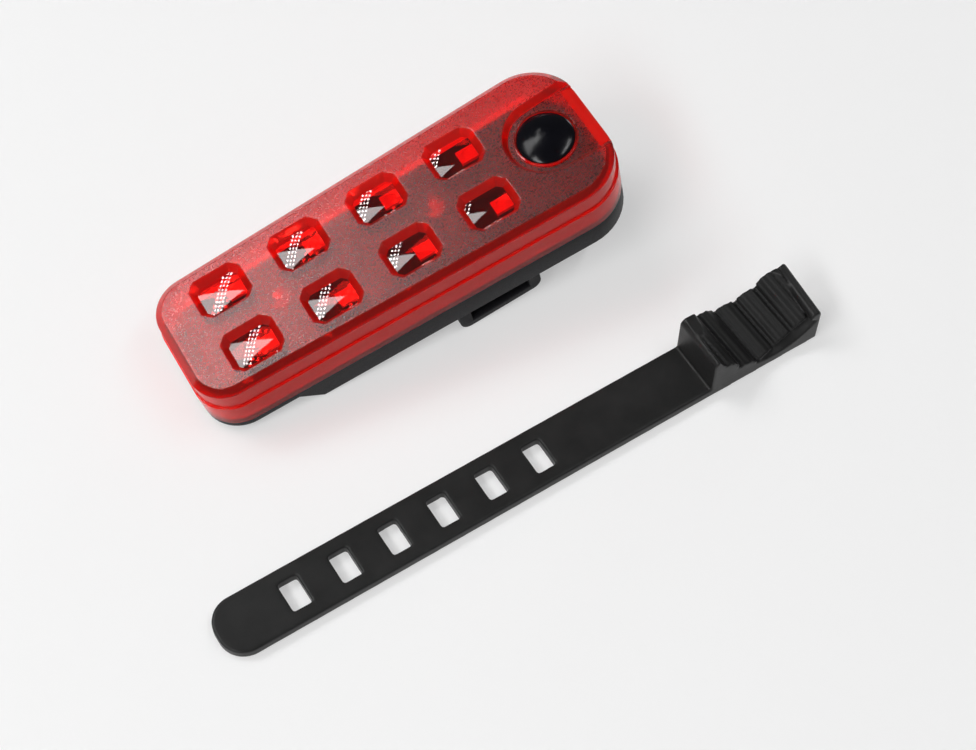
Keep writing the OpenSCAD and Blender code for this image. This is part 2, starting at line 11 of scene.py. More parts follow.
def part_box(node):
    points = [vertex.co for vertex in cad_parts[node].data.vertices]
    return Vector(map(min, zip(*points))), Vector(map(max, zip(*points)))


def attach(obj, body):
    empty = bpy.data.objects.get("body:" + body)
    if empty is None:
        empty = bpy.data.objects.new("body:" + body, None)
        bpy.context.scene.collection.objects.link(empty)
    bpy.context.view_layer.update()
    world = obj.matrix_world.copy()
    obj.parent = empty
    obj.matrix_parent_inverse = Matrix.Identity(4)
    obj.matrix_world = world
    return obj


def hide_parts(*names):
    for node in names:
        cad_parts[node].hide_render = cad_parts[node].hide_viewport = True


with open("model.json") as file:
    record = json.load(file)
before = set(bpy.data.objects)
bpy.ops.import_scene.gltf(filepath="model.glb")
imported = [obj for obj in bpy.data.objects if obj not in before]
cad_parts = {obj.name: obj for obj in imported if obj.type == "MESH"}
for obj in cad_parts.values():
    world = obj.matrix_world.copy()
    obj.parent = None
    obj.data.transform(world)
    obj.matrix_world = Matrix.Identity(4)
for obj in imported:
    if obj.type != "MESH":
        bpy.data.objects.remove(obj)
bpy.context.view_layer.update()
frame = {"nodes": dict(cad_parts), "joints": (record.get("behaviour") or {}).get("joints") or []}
nodes = frame["nodes"]

MM = 0.001

# Sizes of the light in its own frame, in millimetres: x from the narrow end, y across, z up from the belly
LIGHT_LENGTH = 88.4
NARROW_HALF = 13.8
WIDE_HALF = 15.75
NARROW_RADIUS = 7.5
WIDE_RADIUS = 10.5
SEAT_X = 57.1
SEAT_THICKNESS = 0.6
PARTING_Z = 7.3
LAP_Z = 5.7
LAP_THICKNESS = 0.08
STEP_Z = 11.6
FRONT_Z = 16.8
FRONT_UNDERSIDE_Z = 14.4
BOARD_TOP_Z = 13.1
LENS_STEP = 0.4
LENS_WALL = 1.5
BEVEL_HEIGHT = 1.2
BEVEL_WIDTH = 1.4
EDGE_RADIUS = 0.19

# What counts as the flat face and as a flat pane of the lens: cosine of the lean, and reach in millimetres
FACE_LEAN = 0.9999
FACE_REACH = EDGE_RADIUS / 10
PANE_LEAN = 0.98
LENS_SHARP_ANGLE = 32

# Windows of the lens, in millimetres
WINDOW_START = 13.4
WINDOW_PITCH = 16.35
WINDOW_COLUMNS = 4
WINDOW_Y = 6.4
WINDOW_LENGTH = 10.6
WINDOW_WIDTH = 8.6
WINDOW_CORNER = 1.6
WINDOW_CORNER_RADIUS = 0.5
WINDOW_SLOPE = 1.2
WINDOW_DEPTH = 1.3
WINDOW_DOME_RADIUS = 50.0
DOME_RINGS = 9

# Button and the recess round it, in millimetres
BUTTON_X = 78.2
BUTTON_HOLE_RADIUS = 5.53
COLLAR_WIDTH = 0.45
COLLAR_HEIGHT = 0.4
COLLAR_EDGE = 0.16
RECESS_RADIUS = 7.95
RECESS_DEPTH = 1.5
RECESS_SLOPE = 0.9
RECESS_FLARE = 0.8
RECESS_FLOOR_Z = FRONT_Z - RECESS_DEPTH
RUNOUT_LENGTH = 2.4
RUNOUT_DROP = 0.7

# Width of the pale band painted along the far edge of the circuit board, in millimetres: painted glow that
# stands in for light gathered in the far wall of the lens
PAINTED_GLOW_BAND_WIDTH = 1.4

# Screw bosses under the front face, in millimetres
BOSS_COLUMNS = (0, 2)
BOSS_DIAMETER = 3.8
SCREW_HOLE_DIAMETER = 1.8
SCREW_REACH = 2.3

# Strap, in millimetres: x from its tip, z up from the table
STRAP_X = -75.2
STRAP_Y = -47.9
STRAP_TURN = 2.2
STRAP_HALF = 5.6
STRAP_THICKNESS = 2.3
STRAP_TIP_RADIUS = 4.9
STRAP_EDGE = 0.35
STRAP_VOXEL = 0.22
STRAP_EASING = 0.5
STRAP_EASING_ROUNDS = 4
STRAP_LIFT = 0.003
SADDLE_X = 99.4
SADDLE_OVERLAP = 2.0
SADDLE_END = 121.2
SADDLE_HEIGHT = 11.2
SADDLE_MIDDLE = 112.2
SADDLE_FLOOR = 2.2
SADDLE_RADIUS = 13.0
SADDLE_TURN = 14.0
SADDLE_SLOPE = 24.0
BAR_COUNT = 5
BAR_ANGLE = 20.0
BAR_MARGIN = 1.0
BAR_HALF = 1.8
BAR_HEIGHT = 0.8
BAR_ROOT = 0.6
BAR_EDGE = 0.5
BAR_LENGTH = 16.0
HOLE_COUNT = 6
HOLE_START = 15.3
HOLE_PITCH = 10.0
HOLE_LENGTH = 3.8
HOLE_WIDTH = 6.0
HOLE_CORNER = 0.45

# Facets of arcs and circles, and parts of a window's straight side
CORNER_STEPS = 4
OUTLINE_STEPS = 20
SIDE_PARTS = 12
RECESS_STEPS = 40
RING_STEPS = 72
BOSS_STEPS = 40
BORE_STEPS = 32
TIP_STEPS = 14

# Moulded edges of the CAD pieces, in millimetres and degrees
BACK_EDGE = 0.3
LOOP_EDGE = 0.25
BUTTON_EDGE = 0.15
EDGE_FACETS = 3
EDGE_ANGLE = 24
WELD_REACH = 0.002
FLAT_ANGLE = 0.3

# Rounded lips of pockets, and how far a cutting tool stands clear of what it cuts, in millimetres
LIP_RADIUS = 0.22
LIP_FLARE = 3 * LIP_RADIUS
LIP_CLEARANCE = 0.004
CLEAR = 1.0

TABLE_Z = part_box("strap_band")[0].z


def linear(hex_code):
    """sRGB hex colour as linear red, green, blue and a full alpha."""
    levels = [int(hex_code[i : i + 2], 16) / 255 for i in (1, 3, 5)]
    return (*[v / 12.92 if v <= 0.04045 else ((v + 0.055) / 1.055) ** 2.4 for v in levels], 1.0)


def add(tree, kind, inputs=None, **settings):
    """Adds a node with its settings; an input is a value, or the output that feeds it."""
    node = tree.nodes.new(kind)
    for name, value in settings.items():
        setattr(node, name, value)
    for name, value in (inputs or {}).items():
        if isinstance(value, bpy.types.NodeSocket):
            tree.links.new(value, node.inputs[name])
        else:
            node.inputs[name].default_value = value
    return node.outputs


def blank_material(name):
    """Material with an empty node tree, and the place on the piece in metres."""
    material = bpy.data.materials.new(name)
    material.use_nodes = True
    tree = material.node_tree
    tree.nodes.clear()
    place = add(tree, "ShaderNodeTexCoord")["Object"]
    return material, tree, place


# Red polycarbonate


def red_polycarbonate(name, clearness, shine, gloss_low, gloss_high, grain_mm, grain_depth_mm):
    """Polycarbonate dyed red in the mass: walls glow where light gathers in them, and lamps shine through."""
    material, tree, place = blank_material(name)
    grain = add(
        tree,
        "ShaderNodeTexNoise",
        {"Vector": place, "Scale": 1 / (grain_mm * MM), "Detail": 3.0, "Roughness": 0.6},
    )
    tooth = add(
        tree,
        "ShaderNodeBump",
        {"Height": grain["Fac"], "Distance": grain_depth_mm * MM, "Strength": 0.6},
    )
    tint = add(
        tree,
        "ShaderNodeMix",
        {"Factor": grain["Fac"], "A": linear("#ff1610"), "B": linear("#ff2c22")},
        data_type="RGBA",
    )
    gloss = add(
        tree,
        "ShaderNodeMapRange",
        {"Value": grain["Fac"], "From Min": 0.4, "From Max": 0.6, "To Min": gloss_low, "To Max": gloss_high},
    )
    plastic = add(
        tree,
        "ShaderNodeBsdfPrincipled",
        {
            "Base Color": tint["Result"],
            "Roughness": gloss["Result"],
            "IOR": 1.58,
            "Specular IOR Level": shine,
            "Transmission Weight": clearness,
            "Subsurface Weight": 1.0,
            "Subsurface Radius": (1.0, 0.12, 0.1),
            "Subsurface Scale": 2.0 * MM,
            "Normal": tooth["Normal"],
        },
    )
    lamp_way = add(tree, "ShaderNodeBsdfTransparent", {"Color": linear("#d8908a")})
    shadow = add(tree, "ShaderNodeLightPath")["Is Shadow Ray"]
    surface = add(tree, "ShaderNodeMixShader", {0: shadow, 1: plastic["BSDF"], 2: lamp_way["BSDF"]})
    add(tree, "ShaderNodeOutputMaterial", {"Surface": surface["Shader"]})
    return material


# Finishes of the lens: name, clearness, shine, roughness from and to, grain and its depth in millimetres
LENS_FINISHES = (
    # Polished mould: bevels, recess walls and collar catch the light in thin clean lines
    ("polished_red_polycarbonate", 0.8, 0.06, 0.03, 0.07, 0.8, 0.002),
    # Optically clear: the lamps and the board show through the panes
    ("clear_red_polycarbonate", 1.0, 0.5, 0.01, 0.03, 0.8, 0.0),
    # Spark-eroded frosting: a dull speckled face
    # Its real grain is too fine to show, so it is drawn 0.4 mm wide
    ("frosted_red_polycarbonate", 0.94, 0.24, 0.26, 0.32, 0.4, 0.003),
    # Sloping window walls: glossy and half clear, so they glow and still mirror the lamps
    ("moulded_red_polycarbonate", 0.58, 0.5, 0.03, 0.07, 0.8, 0.002),
    # Walls that slid out of the mould: deep red and hardly clear, with little mirroring
    ("mould_drawn_red_polycarbonate", 0.3, 0.06, 0.05, 0.12, 0.8, 0.002),
)
POLISHED, CLEAR_PANE, FROSTED, WINDOW_WALL, SIDE_WALL = range(len(LENS_FINISHES))


# Black plastics and rubber


def moulded_black_abs():
    """Black ABS from a spark-eroded mould: satin, with a very fine even grain that breaks up reflections."""
    material, tree, place = blank_material("moulded_black_abs")
    # The real grain is too fine to show, so it is drawn 0.25 mm wide
    grain_mm = 0.25
    cloud_mm = 7
    grain = add(tree, "ShaderNodeTexNoise", {"Vector": place, "Scale": 1 / (grain_mm * MM), "Detail": 2.0})
    cloud = add(tree, "ShaderNodeTexNoise", {"Vector": place, "Scale": 1 / (cloud_mm * MM), "Detail": 4.0})
    colour = add(
        tree,
        "ShaderNodeMix",
        {"Factor": cloud["Fac"], "A": linear("#141417"), "B": linear("#1b1b1f")},
        data_type="RGBA",
    )
    gloss = add(
        tree,
        "ShaderNodeMapRange",
        {"Value": grain["Fac"], "From Min": 0.3, "From Max": 0.7, "To Min": 0.5, "To Max": 0.6},
    )
    tooth = add(tree, "ShaderNodeBump", {"Height": grain["Fac"], "Distance": 0.015 * MM, "Strength": 0.6})
    plastic = add(
        tree,
        "ShaderNodeBsdfPrincipled",
        {
            "Base Color": colour["Result"],
            "Roughness": gloss["Result"],
            "IOR": 1.53,
            "Specular IOR Level": 0.2,
            "Normal": tooth["Normal"],
        },
    )
    add(tree, "ShaderNodeOutputMaterial", {"Surface": plastic["BSDF"]})
    return material


def moulded_silicone_rubber():
    """Black silicone rubber from a blasted mould: dull charcoal with dusty clouds and fine scuffs."""
    material, tree, place = blank_material("moulded_silicone_rubber")
    dust_mm = 5
    # The real blasted grain is too fine to show, so it is drawn 0.3 mm wide
    grain_mm = 0.3
    # Scuffs run along the strap: about 4 mm long and 0.5 mm wide
    scuffs_per_metre = (260.0, 2200.0, 2200.0)
    dust = add(
        tree,
        "ShaderNodeTexNoise",
        {"Vector": place, "Scale": 1 / (dust_mm * MM), "Detail": 6.0, "Roughness": 0.62},
    )
    grain = add(tree, "ShaderNodeTexNoise", {"Vector": place, "Scale": 1 / (grain_mm * MM), "Detail": 2.0})
    scuff_way = add(tree, "ShaderNodeMapping", {"Vector": place, "Scale": scuffs_per_metre})
    scuff = add(tree, "ShaderNodeTexNoise", {"Vector": scuff_way["Vector"], "Scale": 1.0, "Detail": 4.0})
    colour = add(
        tree,
        "ShaderNodeMix",
        {"Factor": dust["Fac"], "A": linear("#191919"), "B": linear("#292929")},
        data_type="RGBA",
    )
    dull = add(
        tree,
        "ShaderNodeMapRange",
        {"Value": dust["Fac"], "From Min": 0.3, "From Max": 0.7, "To Min": 0.34, "To Max": 0.46},
    )
    coarse = add(tree, "ShaderNodeBump", {"Height": scuff["Fac"], "Distance": 0.03 * MM, "Strength": 0.35})
    tooth = add(
        tree,
        "ShaderNodeBump",
        {"Height": grain["Fac"], "Distance": 0.025 * MM, "Strength": 0.55, "Normal": coarse["Normal"]},
    )
    rubber = add(
        tree,
        "ShaderNodeBsdfPrincipled",
        {
            "Base Color": colour["Result"],
            "Roughness": dull["Result"],
            "IOR": 1.43,
            "Specular IOR Level": 0.32,
            "Normal": tooth["Normal"],
        },
    )
    add(tree, "ShaderNodeOutputMaterial", {"Surface": rubber["BSDF"]})
    return material


def polished_black_abs():
    """Polished black ABS of the button: a clean dome with faint finger smears in its gloss."""
    material, tree, place = blank_material("polished_black_abs")
    smear_mm = 2.5
    smear = add(tree, "ShaderNodeTexNoise", {"Vector": place, "Scale": 1 / (smear_mm * MM), "Detail": 4.0})
    gloss = add(
        tree,
        "ShaderNodeMapRange",
        {"Value": smear["Fac"], "From Min": 0.3, "From Max": 0.7, "To Min": 0.12, "To Max": 0.22},
    )
    colour = add(
        tree,
        "ShaderNodeMix",
        {"Factor": smear["Fac"], "A": linear("#07070b"), "B": linear("#0b0b12")},
        data_type="RGBA",
    )
    plastic = add(
        tree,
        "ShaderNodeBsdfPrincipled",
        {
            "Base Color": colour["Result"],
            "Roughness": gloss["Result"],
            "IOR": 1.53,
            "Specular IOR Level": 0.18,
        },
    )
    add(tree, "ShaderNodeOutputMaterial", {"Surface": plastic["BSDF"]})
    return material


# Finishes of the pieces inside


def green_solder_mask():
    """Green solder mask over a glass-fibre board: satin lacquer on the weave, and a pale band painted along
    the far edge as painted glow of the lit far wall of the lens.
    """
    material, tree, place = blank_material("green_solder_mask")
    weave_mm = 1.2
    weave = add(
        tree,
        "ShaderNodeTexWave",
        {"Vector": place, "Scale": 1 / (weave_mm * MM) / math.tau, "Distortion": 2.0, "Detail": 2.0},
        bands_direction="DIAGONAL",
    )
    lacquer_colour = add(
        tree,
        "ShaderNodeMix",
        {"Factor": weave["Fac"], "A": linear("#174029"), "B": linear("#1d4d33")},
        data_type="RGBA",
    )
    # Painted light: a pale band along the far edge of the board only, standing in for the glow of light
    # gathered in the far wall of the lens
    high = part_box("circuit_board")[1]
    flare = (WIDE_HALF - NARROW_HALF) / LIGHT_LENGTH
    start = high.y - PAINTED_GLOW_BAND_WIDTH * MM - flare * (high.x - WIDE_RADIUS * MM)
    spot = add(tree, "ShaderNodeSeparateXYZ", {0: place})
    limit = add(tree, "ShaderNodeMath", {0: spot["X"], 1: flare, 2: start}, operation="MULTIPLY_ADD")
    painted_glow_band = add(tree, "ShaderNodeMath", {0: spot["Y"], 1: limit["Value"]}, operation="GREATER_THAN")
    # Pale colour of the painted glow band, laid over the lacquer
    colour = add(
        tree,
        "ShaderNodeMix",
        {"Factor": painted_glow_band["Value"], "A": lacquer_colour["Result"], "B": linear("#e6dfc0")},
        data_type="RGBA",
    )
    lacquer = add(
        tree,
        "ShaderNodeBsdfPrincipled",
        {"Base Color": colour["Result"], "Roughness": 0.35, "IOR": 1.5},
    )
    add(tree, "ShaderNodeOutputMaterial", {"Surface": lacquer["BSDF"]})
    return material


def inner_finish(name, first, second, cloud_mm, gloss_low, gloss_high, metallic=0.0):
    """Finish of a piece inside the light: two close tones in clouds, and a gloss that varies with them."""
    material, tree, place = blank_material(name)
    cloud = add(tree, "ShaderNodeTexNoise", {"Vector": place, "Scale": 1 / (cloud_mm * MM), "Detail": 3.0})
    colour = add(
        tree,
        "ShaderNodeMix",
        {"Factor": cloud["Fac"], "A": linear(first), "B": linear(second)},
        data_type="RGBA",
    )
    gloss = add(
        tree,
        "ShaderNodeMapRange",
        {"Value": cloud["Fac"], "From Min": 0.3, "From Max": 0.7, "To Min": gloss_low, "To Max": gloss_high},
    )
    shader = add(
        tree,
        "ShaderNodeBsdfPrincipled",
        {"Base Color": colour["Result"], "Roughness": gloss["Result"], "Metallic": metallic},
    )
    add(tree, "ShaderNodeOutputMaterial", {"Surface": shader["BSDF"]})
    return material


# Shapes


def light_matrix():
    """From the light's own millimetres to the part's metres, with the light tilted on its belly and loop."""
    lift = next(joint for joint in frame["joints"] if joint["name"] == "front_lift")
    normal = Vector(lift["axis"]).normalized()
    across = Vector((0, 1, 0))
    turn = Matrix((across.cross(normal), across, normal)).transposed().to_4x4()
    return turn @ Matrix.Scale(MM, 4) @ Matrix.Translation((-SEAT_X, 0, SEAT_THICKNESS))


LIGHT = light_matrix()
BUTTON_PLACE = LIGHT @ Matrix.Translation((BUTTON_X, 0, 0))


def arc(centre, radius, start, end, steps):
    """Points of an arc, angles in degrees."""
    angles = [math.radians(start + (end - start) * i / steps) for i in range(steps + 1)]
    return [(centre[0] + radius * math.cos(a), centre[1] + radius * math.sin(a)) for a in angles]


def circle(centre, radius, steps):
    """Points of a full circle."""
    return arc(centre, radius, 0, 360, steps)[:-1]


def rounded(points, radius, steps=CORNER_STEPS, closed=True):
    """Polygon, or open line, whose corners are turned into arcs of that radius."""
    result = []
    count = len(points)
    for i, point in enumerate(points):
        if not closed and i in (0, count - 1):
            result.append(tuple(point))
            continue
        corner = Vector(point)
        before = (Vector(points[i - 1]) - corner).normalized()
        after = (Vector(points[(i + 1) % count]) - corner).normalized()
        half = before.angle(after) / 2
        centre = corner + (before + after).normalized() * radius / math.sin(half)
        reach = radius / math.tan(half)
        start = corner + before * reach - centre
        turn = start.angle_signed(corner + after * reach - centre)
        for k in range(steps + 1):
            spoke = Matrix.Rotation(-turn * k / steps, 2) @ start
            result.append((centre.x + spoke.x, centre.y + spoke.y))
    return result


def with_sides(points, parts):
    """Outline with its long straight sides divided into equal parts."""
    result = []
    for i, point in enumerate(points):
        following = points[(i + 1) % len(points)]
        count = parts if i % (CORNER_STEPS + 1) == CORNER_STEPS else 1
        for k in range(count):
            result.append(tuple(p + (q - p) * k / count for p, q in zip(point, following)))
    return result


def light_outline(inset):
    """Outline of the light drawn in by an inset: four corner arcs joined by straight sides."""
    narrow = (NARROW_RADIUS, NARROW_HALF - NARROW_RADIUS)
    wide = (LIGHT_LENGTH - WIDE_RADIUS, WIDE_HALF - WIDE_RADIUS)
    run = math.hypot(wide[0] - narrow[0], wide[1] - narrow[1])
    lean = math.atan2(wide[1] - narrow[1], wide[0] - narrow[0])
    side = math.degrees(lean + math.acos((NARROW_RADIUS - WIDE_RADIUS) / run))
    return (
        arc((wide[0], -wide[1]), WIDE_RADIUS - inset, -side, 0, OUTLINE_STEPS)
        + arc(wide, WIDE_RADIUS - inset, 0, side, OUTLINE_STEPS)[1:]
        + arc(narrow, NARROW_RADIUS - inset, side, 180, OUTLINE_STEPS)
        + arc((narrow[0], -narrow[1]), NARROW_RADIUS - inset, 180, 360 - side, OUTLINE_STEPS)[1:]
    )


def window_outline(inset):
    """Octagon of a window drawn in by an inset, with its corners eased."""
    a = WINDOW_LENGTH / 2 - inset
    b = WINDOW_WIDTH / 2 - inset
    c = WINDOW_CORNER - inset * (2 - math.sqrt(2))
    right = [(a, c - b), (a, b - c), (a - c, b)]
    left = [(c - a, b), (-a, b - c), (-a, c - b)]
    near = [(c - a, -b), (a - c, -b)]
    return with_sides(rounded(right + left + near, WINDOW_CORNER_RADIUS), SIDE_PARTS)


def recess_outline(inset):
    """U-shaped outline of the recess round the button, open at the button end."""
    over = LIGHT_LENGTH - BUTTON_X + CLEAR
    radius = RECESS_RADIUS - inset
    mouth = radius + RECESS_FLARE
    return arc((0, 0), radius, 90, 270, RECESS_STEPS) + [(over, -mouth), (over, mouth)]


def at(points, z):
    """Flat points lifted to a height."""
    return [(x, y, z) for x, y in points]


def skin(bm, rings, place, tip=None):
    """Closed skin through rings of equally many points, ending flat or in a tip."""
    loops = [[bm.verts.new(place @ Vector(point)) for point in ring] for ring in rings]
    count = len(loops[0])
    for below, above in zip(loops, loops[1:]):
        for i in range(count):
            j = (i + 1) % count
            bm.faces.new((below[i], below[j], above[j], above[i]))
    bm.faces.new(loops[0][::-1])
    if tip is None:
        bm.faces.new(loops[-1])
    else:
        top = bm.verts.new(place @ Vector(tip))
        for i in range(count):
            bm.faces.new((loops[-1][i], loops[-1][(i + 1) % count], top))


def as_piece(name, bm):
    """Scene object from a mesh in the making."""
    bmesh.ops.recalc_face_normals(bm, faces=bm.faces)
    mesh = bpy.data.meshes.new(name)
    bm.to_mesh(mesh)
    bm.free()
    piece = bpy.data.objects.new(name, mesh)
    bpy.context.scene.collection.objects.link(piece)
    return piece


def carve(piece, operation, tool):
    """Joins a tool to a piece or cuts it out, and deletes the tool."""
    change = piece.modifiers.new("carve", "BOOLEAN")
    change.operation = operation
    change.solver = "EXACT"
    change.object = tool
    ready = piece.evaluated_get(bpy.context.evaluated_depsgraph_get())
    old = piece.data
    piece.data = bpy.data.meshes.new_from_object(ready)
    piece.modifiers.clear()
    bpy.data.meshes.remove(old)
    bpy.data.objects.remove(tool)


def shade_edges(piece, sharp_degrees):
    """Smooth shading that keeps flat faces flat and breaks at sharp edges."""
    piece.data.shade_smooth()
    piece.data.set_sharp_from_angle(angle=math.radians(sharp_degrees))
    flat = piece.modifiers.new("flat_faces", "WEIGHTED_NORMAL")
    flat.keep_sharp = True


def dress(names, material, edge_mm=0.0):
    """Gives CAD nodes their material, and moulded edges where a width is given."""
    for name in names:
        piece = nodes[name]
        piece.data.materials.clear()
        piece.data.materials.append(material)
        if edge_mm:
            weld = piece.modifiers.new("weld", "WELD")
            weld.merge_threshold = WELD_REACH * MM
            flat = piece.modifiers.new("flat", "DECIMATE")
            flat.decimate_type = "DISSOLVE"
            flat.angle_limit = math.radians(FLAT_ANGLE)
            edge = piece.modifiers.new("edge", "BEVEL")
            edge.width = edge_mm * MM
            edge.segments = EDGE_FACETS
            edge.limit_method = "ANGLE"
            edge.angle_limit = math.radians(EDGE_ANGLE)
            edge.harden_normals = True
            piece.data.shade_smooth()


# Lens


def window_tool(bm, x, y):
    """Pocket of a window: eased lip, sloping walls, eased foot and a slightly domed floor."""
    crown = FRONT_Z - WINDOW_DEPTH
    rim_z = FRONT_Z + LIP_CLEARANCE
    wall = [(-LIP_FLARE, rim_z), (0, rim_z), (WINDOW_SLOPE, crown)]
    side = rounded(wall, LIP_RADIUS, closed=False)[1:-1]
    rings = [at(window_outline(side[0][0]), FRONT_Z + CLEAR)]
    rings += [at(window_outline(inset), z) for inset, z in side]
    foot = window_outline(WINDOW_SLOPE)
    for i in range(DOME_RINGS):
        part = 1 - i / DOME_RINGS
        ring = []
        for px, py in foot:
            drop = part**2 * (px**2 + py**2) / (2 * WINDOW_DOME_RADIUS)
            ring.append((part * px, part * py, crown - drop))
        rings.append(ring)
    skin(bm, rings, LIGHT @ Matrix.Translation((x, y, 0)), tip=(0, 0, crown))


def boss_x():
    """Places of the screw bosses along the light."""
    return [WINDOW_START + (column + 0.5) * WINDOW_PITCH for column in BOSS_COLUMNS]


def make_lens():
    """Red front of the light: skirt, step, bevel, windows and the recess round the button."""
    bm = bmesh.new()
    wall = [
        (0, STEP_Z),
        (LENS_STEP, STEP_Z),
        (LENS_STEP, FRONT_Z - BEVEL_HEIGHT),
        (LENS_STEP + BEVEL_WIDTH, FRONT_Z),
        (2 * LENS_WALL, FRONT_Z),
    ]
    lap = [(LAP_THICKNESS, PARTING_Z), (LAP_THICKNESS, LAP_Z)]
    profile = lap + rounded([(0, LAP_Z)] + wall, EDGE_RADIUS, closed=False)
    skin(bm, [at(light_outline(inset), z) for inset, z in profile], LIGHT)
    lens = as_piece("lens", bm)

    bm = bmesh.new()
    inner = LENS_STEP + LENS_WALL
    room = [(inner, PARTING_Z - CLEAR), (inner, FRONT_UNDERSIDE_Z), (2 * inner, FRONT_UNDERSIDE_Z)]
    profile = rounded(room, 2 * LIP_RADIUS, closed=False)[:-1]
    skin(bm, [at(light_outline(inset), z) for inset, z in profile], LIGHT)
    carve(lens, "DIFFERENCE", as_piece("room", bm))

    bm = bmesh.new()
    for column in range(WINDOW_COLUMNS):
        for y in (-WINDOW_Y, WINDOW_Y):
            window_tool(bm, WINDOW_START + column * WINDOW_PITCH, y)
    carve(lens, "DIFFERENCE", as_piece("windows", bm))

    bm = bmesh.new()
    rim_z = FRONT_Z + LIP_CLEARANCE
    floor = [(RECESS_SLOPE, RECESS_FLOOR_Z), (2 * RECESS_SLOPE, RECESS_FLOOR_Z)]
    wall = [(-LIP_FLARE, rim_z), (0, rim_z)] + floor
    side = rounded(wall, LIP_RADIUS, closed=False)[1:-1]
    rings = [at(recess_outline(side[0][0]), FRONT_Z + CLEAR)]
    rings += [at(recess_outline(inset), z) for inset, z in side]
    skin(bm, rings, BUTTON_PLACE)
    carve(lens, "DIFFERENCE", as_piece("recess", bm))

    bm = bmesh.new()
    start = LIGHT_LENGTH - LENS_STEP - RUNOUT_LENGTH
    half = RECESS_RADIUS - RECESS_SLOPE
    end = LIGHT_LENGTH + CLEAR
    fall = RECESS_FLOOR_Z - RUNOUT_DROP
    slope = [(start, RECESS_FLOOR_Z), (LIGHT_LENGTH, fall), (end, fall), (end, FRONT_Z), (start, FRONT_Z)]
    skin(bm, [[(x, y, z) for x, z in slope] for y in (-half, half)], LIGHT)
    carve(lens, "DIFFERENCE", as_piece("runout", bm))

    bm = bmesh.new()
    outer = BUTTON_HOLE_RADIUS + COLLAR_WIDTH
    crest = RECESS_FLOOR_Z + COLLAR_HEIGHT
    rings = [(outer, RECESS_FLOOR_Z - LIP_RADIUS), (outer, crest), (BUTTON_HOLE_RADIUS / 2, crest)]
    rings = rounded(rings, COLLAR_EDGE, closed=False)
    skin(bm, [at(circle((0, 0), r, RING_STEPS), z) for r, z in rings], BUTTON_PLACE)
    for x in boss_x():
        boss = circle((x, 0), BOSS_DIAMETER / 2, BOSS_STEPS)
        skin(bm, [at(boss, BOARD_TOP_Z), at(boss, FRONT_UNDERSIDE_Z + LIP_RADIUS)], LIGHT)
    carve(lens, "UNION", as_piece("collar", bm))

    bm = bmesh.new()
    hole = circle((0, 0), BUTTON_HOLE_RADIUS, RING_STEPS)
    skin(bm, [at(hole, FRONT_UNDERSIDE_Z - CLEAR), at(hole, FRONT_Z + CLEAR)], BUTTON_PLACE)
    for x in boss_x():
        bore = circle((x, 0), SCREW_HOLE_DIAMETER / 2, BORE_STEPS)
        skin(bm, [at(bore, BOARD_TOP_Z - CLEAR), at(bore, BOARD_TOP_Z + SCREW_REACH)], LIGHT)
    carve(lens, "DIFFERENCE", as_piece("holes", bm))

    lens.data.materials.clear()
    for finish in LENS_FINISHES:
        lens.data.materials.append(red_polycarbonate(*finish))
    into_light = LIGHT.inverted()
    up = (LIGHT.to_3x3() @ Vector((0, 0, 1))).normalized()
    first = WINDOW_START - WINDOW_LENGTH / 2 - CLEAR
    last = WINDOW_START + (WINDOW_COLUMNS - 1) * WINDOW_PITCH + WINDOW_LENGTH / 2 + CLEAR
    reach = WINDOW_Y + WINDOW_WIDTH / 2 + LIP_RADIUS
    for face in lens.data.polygons:
        spot = into_light @ face.center
        height = spot.z
        lean = abs(face.normal.dot(up))
        middle = LIGHT @ Vector((LIGHT_LENGTH / 2, 0, height))
        on_face = min(abs(height - FRONT_Z), abs(height - RECESS_FLOOR_Z)) < FACE_REACH
        on_pane = FRONT_UNDERSIDE_Z - EDGE_RADIUS < height < FRONT_Z - WINDOW_DEPTH + EDGE_RADIUS
        inside = height < FRONT_UNDERSIDE_Z and face.normal.dot(middle - face.center) > 0
        if on_face and lean > FACE_LEAN:
            face.material_index = FROSTED
        elif inside or on_pane and lean > PANE_LEAN:
            face.material_index = CLEAR_PANE
        elif first < spot.x < last and abs(spot.y) < reach and height > FRONT_UNDERSIDE_Z:
            face.material_index = WINDOW_WALL
        elif LAP_Z < height < FRONT_Z - BEVEL_HEIGHT - EDGE_RADIUS:
            face.material_index = SIDE_WALL
        else:
            face.material_index = POLISHED
    shade_edges(lens, LENS_SHARP_ANGLE)
    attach(lens, "front")
    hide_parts("lens_cover")


# Strap


def band_outline(inset):
    """Outline of the flat part of the strap drawn in by an inset, with its round tip."""
    half = STRAP_HALF - STRAP_TIP_RADIUS
    radius = STRAP_TIP_RADIUS - inset
    tip = arc((STRAP_TIP_RADIUS, half), radius, 90, 180, TIP_STEPS)
    tip += arc((STRAP_TIP_RADIUS, -half), radius, 180, 270, TIP_STEPS)
    end = SADDLE_X + SADDLE_OVERLAP
    return tip + [(end, inset - STRAP_HALF), (end, STRAP_HALF - inset)]


def hole_outline(inset):
    """Outline of a strap hole with rounded corners; a negative inset is the flare of its lip."""
    a = HOLE_LENGTH / 2 - inset
    b = HOLE_WIDTH / 2 - inset
    return rounded([(a, -b), (a, b), (-a, b), (-a, -b)], HOLE_CORNER)


